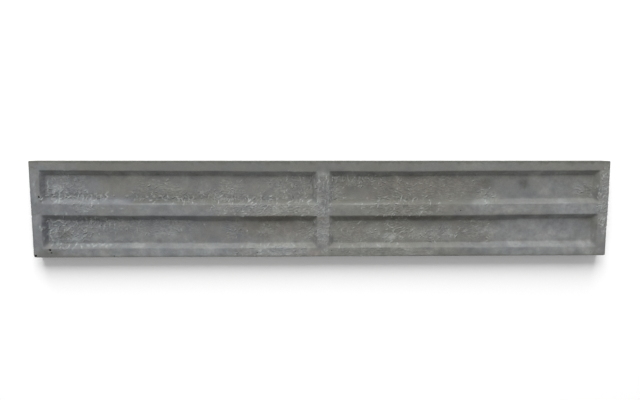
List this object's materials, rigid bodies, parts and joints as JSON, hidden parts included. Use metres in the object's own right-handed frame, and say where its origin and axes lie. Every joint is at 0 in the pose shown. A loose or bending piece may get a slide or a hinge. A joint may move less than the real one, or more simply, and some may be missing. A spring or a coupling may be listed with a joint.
{
  "type": "concrete gravel board",
  "caption": "Long rectangular precast concrete gravel board with sunk, splay-sided panels on one face between raised rails and a centre rib; fills the foot of a fence.",
  "frame": {"origin": "centre of the flat back, which is the underside of the board as it lies", "axes": "+X along the board, +Y from its bottom edge to its top edge as built into a fence, +Z out of the panelled face"},
  "size_m": [1.83, 0.305, 0.05],
  "materials": {
    "concrete": "matte"
  },
  "bodies": {
    "root": {"gravel_board": "concrete"}
  },
  "joints": []
}
